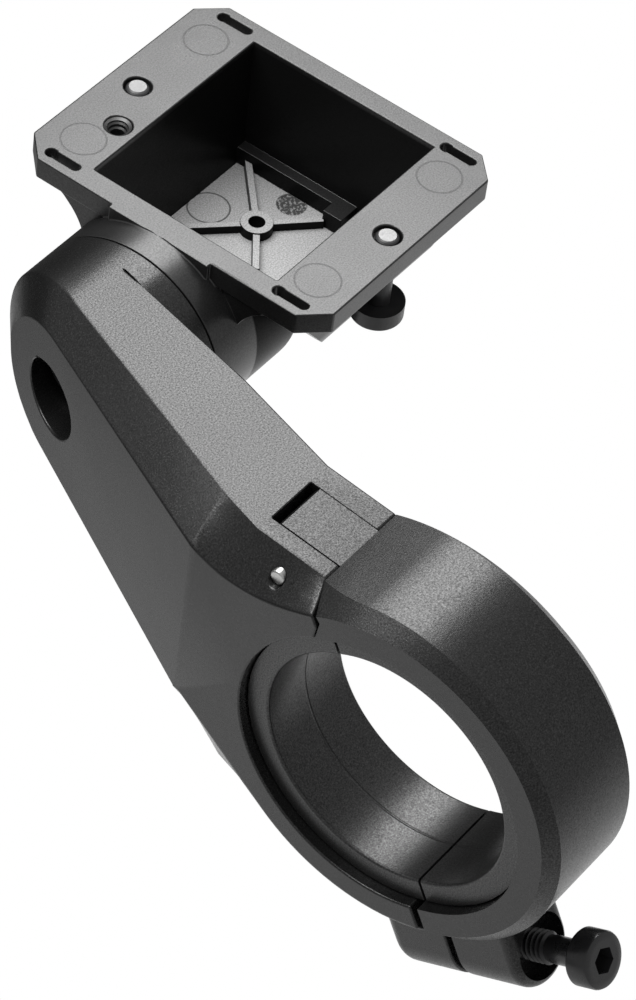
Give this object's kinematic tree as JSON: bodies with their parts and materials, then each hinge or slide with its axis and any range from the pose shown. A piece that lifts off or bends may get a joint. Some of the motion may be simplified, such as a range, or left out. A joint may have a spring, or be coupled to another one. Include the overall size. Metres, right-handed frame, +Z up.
{
  "type": "handlebar display mount",
  "caption": "Hinged handlebar clamp with an offset arm that carries a tilting rectangular tray for a display.",
  "frame": {"origin": "centre of the bar bore, at mid width of the clamp", "axes": "X along the bar towards the tray side, Y forward from the bar to the tray, Z up, square to the tray top at rest"},
  "size_m": [0.071, 0.1121, 0.0586],
  "materials": {
    "filled_plastic": "grained",
    "liner_plastic": "grained",
    "tray_plastic": "satin",
    "black_steel": "black oxide",
    "bright_steel": "ground",
    "brass": "turned"
  },
  "bodies": {
    "arm": {"arm": "filled_plastic", "hinge_pin": "bright_steel", "arm_liner": "liner_plastic", "clamp_nut": "brass", "tilt_washer": "bright_steel"},
    "clamp_half": {"clamp_bracket": "filled_plastic", "bracket_liner": "liner_plastic"},
    "clamp_screw": {"clamp_screw": "black_steel"},
    "tray": {"tray": "tray_plastic", "tilt_nut": "brass"},
    "tilt_screw": {"tilt_screw": "black_steel"},
    "tray_screw_rear": {"tray_screw_rear": "black_steel"},
    "tray_screw_front": {"tray_screw_front": "black_steel"}
  },
  "joints": [
    {"name": "clamp_open", "type": "hinge", "parent": "arm", "child": "clamp_half", "pos_m": [0, 0.0172, 0.0193], "axis": [-1, 0, 0], "range_deg": [0, 70]},
    {"name": "clamp_screw_travel", "type": "slide", "parent": "clamp_half", "child": "clamp_screw", "axis": [0, 0.8829, -0.4695], "range_m": [0, 0.008]},
    {"name": "tray_tilt", "type": "hinge", "parent": "arm", "child": "tray", "pos_m": [0.0206, 0.0592, 0.009], "axis": [1, 0, 0], "range_deg": [-45, 45]},
    {"name": "tilt_screw_turn", "type": "hinge", "parent": "arm", "child": "tilt_screw", "pos_m": [0.0154, 0.0592, 0.009], "axis": [-1, 0, 0], "range_deg": [0, 180]},
    {"name": "tray_screw_rear_travel", "type": "slide", "parent": "tray", "child": "tray_screw_rear", "axis": [0, 0, 1], "range_m": [0, 0.0075]},
    {"name": "tray_screw_front_travel", "type": "slide", "parent": "tray", "child": "tray_screw_front", "axis": [0, 0, 1], "range_m": [0, 0.0075]}
  ]
}
